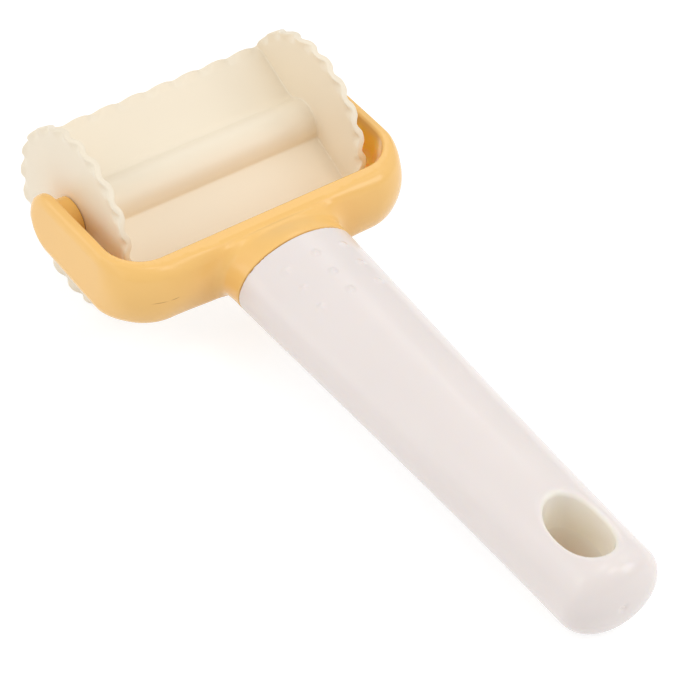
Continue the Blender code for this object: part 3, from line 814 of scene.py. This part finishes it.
for middle, half_length in HAIRLINES:
    hairline, _ = tool_mask(YELLOW, (middle, *HAIRLINE_PLACE), (half_length, *HAIRLINE_HALF),
                            *HAIRLINE_BORDER)
    tint_where(YELLOW, hairline, HAIRLINE_COLOUR)
fork = skin("fork_moulding", fork_field, FORK_LOW, FORK_HIGH, FORK_STEPS)
dress(fork, YELLOW, "holder", "yoke")

# %% [markdown]
# ## Light through the arms, and a painted glow
# The yellow plastic is thin enough that light from outside comes through the arms, so their inner
# faces glow in a deep orange. Real plastic does this everywhere, but only where little light falls
# does it show. So each point of the fork gets a mark that says how far it looks at the roller, and
# the mark sets how much light goes through and how deep an orange is painted over the base colour:
# a painted glow on the inner faces and the bosses.

# %% Mark the inner faces, let light through them, and paint a glow on them
# a painted glow: deep orange laid over the yellow where light comes through
PAINTED_GLOW_COLOUR = (1.0, 0.58, 0.11)
GLOW_FADE = 6.0                     # along the crossbar, from the discs' place inwards
GLOW_DEPTH = 4.0                    # down from the upper edge and up from the lower one
BOSS_MARK = 0.5                     # the bosses take only the painted glow, and no light through
TURN_RANGE = (0.25, 0.875)          # how far a face turns inwards, from no mark to a full one
REGION_MARGIN = 0.5
BOSS_MARGIN = 0.3


def mark_inner_faces(piece, field):
    """Writes an attribute: the product of how far a face is turned inwards, how far out along the
    crossbar it lies, and how far from the upper and lower edges; and half on the bosses."""
    points = places_of(piece)
    x, y, z = points.T
    normal = normals_of(field, points)
    arm_inside = ARM_OUTSIDE - ARM_WALL
    in_fork = (y > -BAR_INSIDE - REGION_MARGIN) & (np.abs(x) < arm_inside + REGION_MARGIN)
    turned = np.where(np.abs(x) > CORNER_OUTSIDE, -np.sign(x) * normal[:, 0], 0)
    beside = smooth_step((np.abs(x) - DISC_SPACING / 2 + GLOW_FADE) / GLOW_FADE)
    turned = np.maximum(turned, normal[:, 1] * (y < 0) * beside) * in_fork
    deep = smooth_step((BAR_HALF_HEIGHT - np.abs(z)) / GLOW_DEPTH)
    boss = (np.hypot(y, z) < BOSS_RADIUS + BOSS_MARGIN) & (np.abs(x) < arm_inside)
    facing = smooth_step((turned - TURN_RANGE[0]) / (TURN_RANGE[1] - TURN_RANGE[0]))
    share = np.where(boss, BOSS_MARK, facing * deep)
    mark = piece.data.attributes.new("looks_inwards", "FLOAT", "POINT")
    mark.data.foreach_set("value", share.astype(np.float32))
    print("marked", int((share > 0.5).sum()), "of", len(share), "points as inner faces")


def glow_through_and_paint_glow(material, colour):
    """Lays a deep orange by the mark, a painted glow. The subsurface weight is twice the mark less 1,
    so that the thick bosses take the painted glow and no light through them."""
    nodes, links = material.node_tree.nodes, material.node_tree.links
    mark = nodes.new("ShaderNodeAttribute")
    mark.attribute_name = "looks_inwards"
    share = nodes.new("ShaderNodeMath")
    share.operation = "MULTIPLY_ADD"
    share.inputs[1].default_value = 2.0
    share.inputs[2].default_value = -1.0
    share.use_clamp = True
    links.new(mark.outputs["Fac"], share.inputs[0])
    links.new(share.outputs["Value"], nodes["Principled BSDF"].inputs["Subsurface Weight"])
    # the painted glow: the mark lays the deep orange over the base colour
    tint_where(material, mark.outputs["Fac"], colour)


mark_inner_faces(fork, fork_field)
glow_through_and_paint_glow(YELLOW, PAINTED_GLOW_COLOUR)

# %% [markdown]
# ## The fork's tang
# The same yellow moulding goes on inside the handle, as a plug that fills the mouth and two crossed
# ribs that keep it straight. Nobody sees it in the picture, but the tool would come apart without
# it. It is a field too, with a coarser lattice, and starts a little inside the collar.

# %% Plug and crossed ribs
PLUG_LENGTH = 6.0
PLUG_ROUND = 1.0
TANG_LENGTH = 42.0
TANG_WALL = 3.0
RIB_ROUND = 0.6
TANG_START = 2.0                    # how far inside the collar it begins
TANG_LOW = (-15, MOUTH - TANG_LENGTH - 1, -11)
TANG_HIGH = (15, MOUTH + 3, 11)
TANG_STEPS = (0.6, 0.8, 0.6)


def tang_field(p):
    """Plug that fills the handle's mouth, and two crossed ribs behind it."""
    x, y, z = p[..., 0], p[..., 1], p[..., 2]
    half_width, half_height = handle_halves(y)
    inset = HANDLE_WALL + SEAM
    plug = oval_distance(x, z, half_width - inset, half_height - inset)
    inside = plug + SEAM
    plug = round_both(plug, MOUTH - PLUG_LENGTH - y, PLUG_ROUND)
    cross = np.minimum(np.abs(x), np.abs(z)) - TANG_WALL / 2
    ribs = round_both(np.maximum(cross, inside), MOUTH - TANG_LENGTH - y, RIB_ROUND)
    return np.maximum(np.minimum(plug, ribs), y - MOUTH - TANG_START)


tang = skin("fork_tang", tang_field, TANG_LOW, TANG_HIGH, TANG_STEPS)
dress(tang, YELLOW, "holder", "yoke")

# %% [markdown]
# ## The ground
# The picture is a shop picture on a white ground. The floor sends light back to the tool as a plain
# pale surface does. To eyes and in reflections it is part surface, which takes the tool's shadow, and
# part glow, and the two add up to white, so that only the shadow shows.

# %% Floor
FLOOR_SIZE = 4.0
FLOOR_COLOUR = 0.86                 # for light that the floor sends back to the tool
FLOOR_SHADOW = 0.45                 # share of its own light and shadow that is looked at
FLOOR_GLOW = 0.72                   # the rest of its white, for eyes and reflections
FLOOR_ROUGHNESS = 0.9


def white_ground():
    """Pale surface; the kind of ray mixes its colour and glow, as the greatest of three flags."""
    material = bpy.data.materials.new("white_ground")
    material.use_nodes = True
    nodes, links = material.node_tree.nodes, material.node_tree.links
    shader = nodes["Principled BSDF"]
    shader.inputs["Roughness"].default_value = FLOOR_ROUGHNESS
    shader.inputs["Specular IOR Level"].default_value = 0.0
    shader.inputs["Emission Color"].default_value = (1, 1, 1, 1)
    ray = nodes.new("ShaderNodeLightPath")
    seen = ray.outputs["Is Camera Ray"]
    for other in ("Is Glossy Ray", "Is Transmission Ray"):
        either = nodes.new("ShaderNodeMath")
        either.operation = "MAXIMUM"
        links.new(seen, either.inputs[0])
        links.new(ray.outputs[other], either.inputs[1])
        seen = either.outputs["Value"]
    for socket, unseen, looked_at in (("Base Color", FLOOR_COLOUR, FLOOR_SHADOW),
                                      ("Emission Strength", 0.0, FLOOR_GLOW)):
        level = nodes.new("ShaderNodeMapRange")
        level.inputs["To Min"].default_value = unseen
        level.inputs["To Max"].default_value = looked_at
        links.new(seen, level.inputs["Value"])
        links.new(level.outputs["Result"], shader.inputs[socket])
    return material


bm = bmesh.new()
bmesh.ops.create_grid(bm, x_segments=1, y_segments=1, size=FLOOR_SIZE / 2)
floor_mesh = bpy.data.meshes.new("floor")
bm.to_mesh(floor_mesh)
bm.free()
floor = bpy.data.objects.new("floor", floor_mesh)
floor.data.materials.append(white_ground())
bpy.context.scene.collection.objects.link(floor)
print("floor:", FLOOR_SIZE, "m square")

# %% [markdown]
# ## Soft boxes and sky
# A small pale object is lit from all round, so that it has broad highlights and hardly any shadow. A
# pale sky gives most of the light. Eleven square lamps stand for a studio's soft boxes: the stronger
# ones at the front make the sheen along the crossbar and the handle, and those on the left and at
# the back light the discs. Square area lamps give soft borders to every shadow.

# %% Lights
SOFT_BOXES = {                      # place in metres, size in metres, watts
    "top": ((0.0, -0.1, 1.2), 1.0, 0.77),
    "top_small": ((0.1, -0.2, 1.2), 0.35, 0.9),
    "back_right": ((0.55, 0.7, 0.8), 0.45, 0.6),
    "right": ((1.1, -0.1, 0.5), 0.8, 0.4),
    "left": ((-1.1, -0.1, 0.5), 0.8, 1.05),
    "left_high": ((-0.8, 0.2, 0.9), 0.5, 1.15),
    "front_right": ((0.7, -0.75, 0.6), 0.4, 1.65),
    "front_high": ((0.3, -0.7, 1.0), 0.4, 1.4),
    "right_high": ((0.75, -0.2, 0.95), 0.4, 0.6),
    "back_left": ((-0.6, 0.8, 0.7), 0.8, 0.8),
    "back_left_low": ((-0.85, 0.65, 0.35), 0.5, 0.95)}
AIM = Vector((0, 0, 0.02))
WORLD_LEVEL = 0.565


def soft_box(name, place, size, power):
    """Square area lamp at a place, turned towards the roller."""
    lamp = bpy.data.lights.new(name, "AREA")
    lamp.shape = "SQUARE"
    lamp.size = size
    lamp.energy = power
    thing = bpy.data.objects.new(name, lamp)
    thing.location = place
    thing.rotation_mode = "QUATERNION"
    thing.rotation_quaternion = (AIM - Vector(place)).to_track_quat("-Z", "Y")
    bpy.context.scene.collection.objects.link(thing)
    return thing


for name, (place, size, power) in SOFT_BOXES.items():
    soft_box(name, place, size, power)

world = bpy.data.worlds.new("studio")
bpy.context.scene.world = world
world.use_nodes = True
background = world.node_tree.nodes["Background"]
background.inputs["Color"].default_value = (1, 1, 1, 1)
background.inputs["Strength"].default_value = WORLD_LEVEL
bpy.context.scene.view_settings.view_transform = "Standard"
print("soft boxes:", ", ".join(SOFT_BOXES), "and sky", WORLD_LEVEL)

# %% [markdown]
# ## The camera
# The photograph was taken from the left front and well above, with a long lens, since the near and
# far discs are almost the same size. Place, turn and lens come from fitting the outlines of the
# roller, the fork and the handle by least squares.

# %% Camera
CAMERA_PLACE = (-0.35370, -0.44849, 0.52312)
CAMERA_TURN = (48.495, -1.567, -36.232)      # degrees about X, Y and Z
CAMERA_LENS = 183.05                         # in mm
CAMERA_FRAME = 36                            # its width in mm

camera = bpy.data.objects.new("camera", bpy.data.cameras.new("camera"))
camera.location = CAMERA_PLACE
camera.rotation_euler = [math.radians(a) for a in CAMERA_TURN]
camera.data.lens = CAMERA_LENS
camera.data.sensor_width = CAMERA_FRAME
bpy.context.scene.collection.objects.link(camera)
bpy.context.scene.camera = camera
print("camera at", CAMERA_PLACE)
